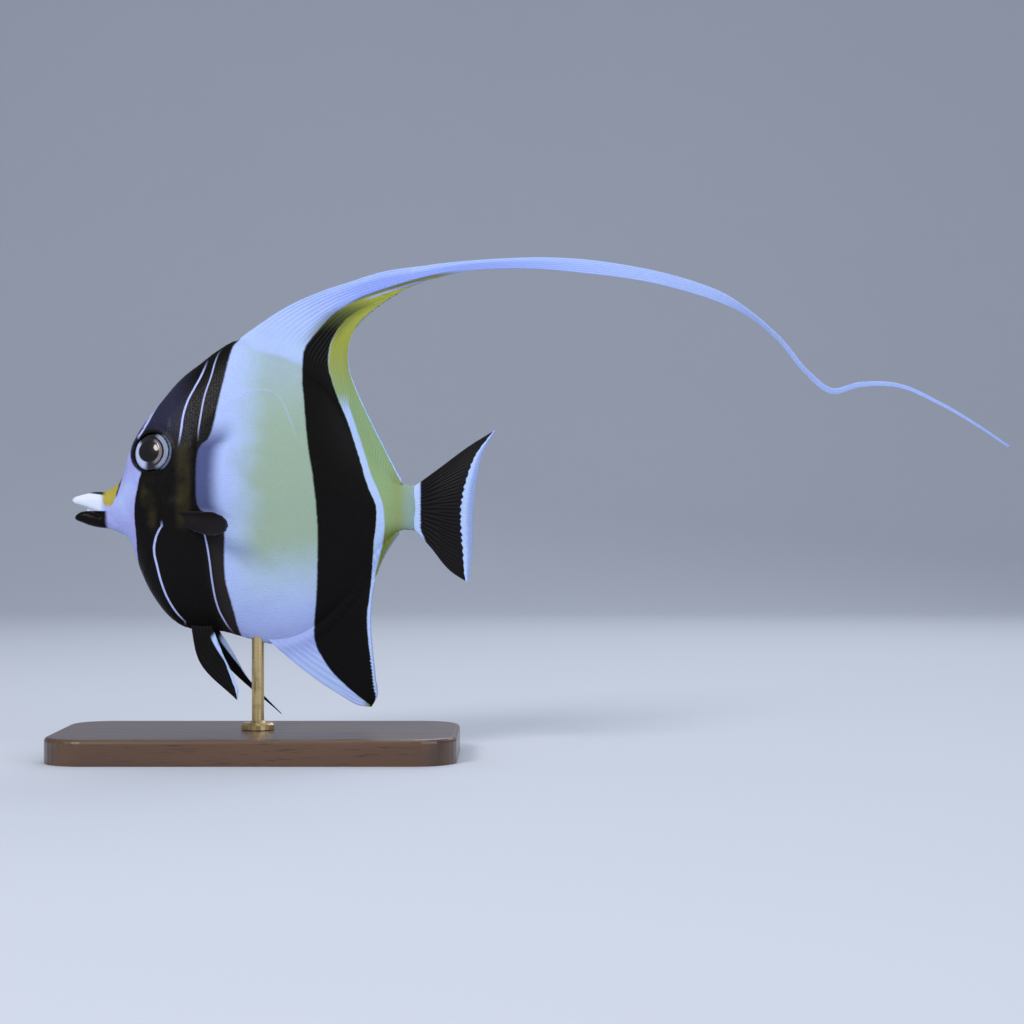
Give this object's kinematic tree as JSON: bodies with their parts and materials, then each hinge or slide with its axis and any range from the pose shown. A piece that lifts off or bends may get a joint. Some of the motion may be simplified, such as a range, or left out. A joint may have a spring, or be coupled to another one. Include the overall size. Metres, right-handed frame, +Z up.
{
  "type": "moorish idol fish model",
  "caption": "Still life-size model of a moorish idol fish, disc-shaped and banded, with a long trailing dorsal filament, held over a flat base by a short rod.",
  "frame": {"origin": "middle of the underside of the stand's base", "axes": "+X along the fish towards the tail and the trailing filament, the snout points to -X; +Y towards the fish's right side; +Z up"},
  "size_m": [0.3711, 0.084, 0.1939],
  "materials": {
    "skin": "satin fish skin with fine scales, banded white, pale yellow and near black",
    "skin_black": "satin near-black skin",
    "jaw_white": "satin white lip skin",
    "eye": "clear wet gloss over a black pupil and a banded iris",
    "fin_pale": "thin satin membrane over raised rays",
    "fin_dark": "thin satin near-black membrane over raised rays",
    "stand_wood": "satin stained hardwood",
    "stand_metal": "satin brass"
  },
  "bodies": {
    "root": {"head": "skin", "upper_jaw": "jaw_white", "lower_jaw": "skin_black", "trunk": "skin", "caudal_peduncle": "skin", "eye_left": "eye", "eye_right": "eye", "dorsal_fin": "fin_pale", "dorsal_fin_middle": "fin_pale", "dorsal_fin_rear": "fin_pale", "dorsal_streamer_1": "fin_pale", "dorsal_streamer_2": "fin_pale", "dorsal_streamer_3": "fin_pale", "dorsal_streamer_4": "fin_pale", "dorsal_streamer_5": "fin_pale", "anal_fin": "fin_pale", "caudal_fin": "fin_dark", "pectoral_fin_left": "fin_dark", "pectoral_fin_right": "fin_dark", "pelvic_fin_left": "fin_dark", "pelvic_fin_right": "fin_dark", "stand_base": "stand_wood", "stand_rod": "stand_metal"}
  },
  "joints": []
}
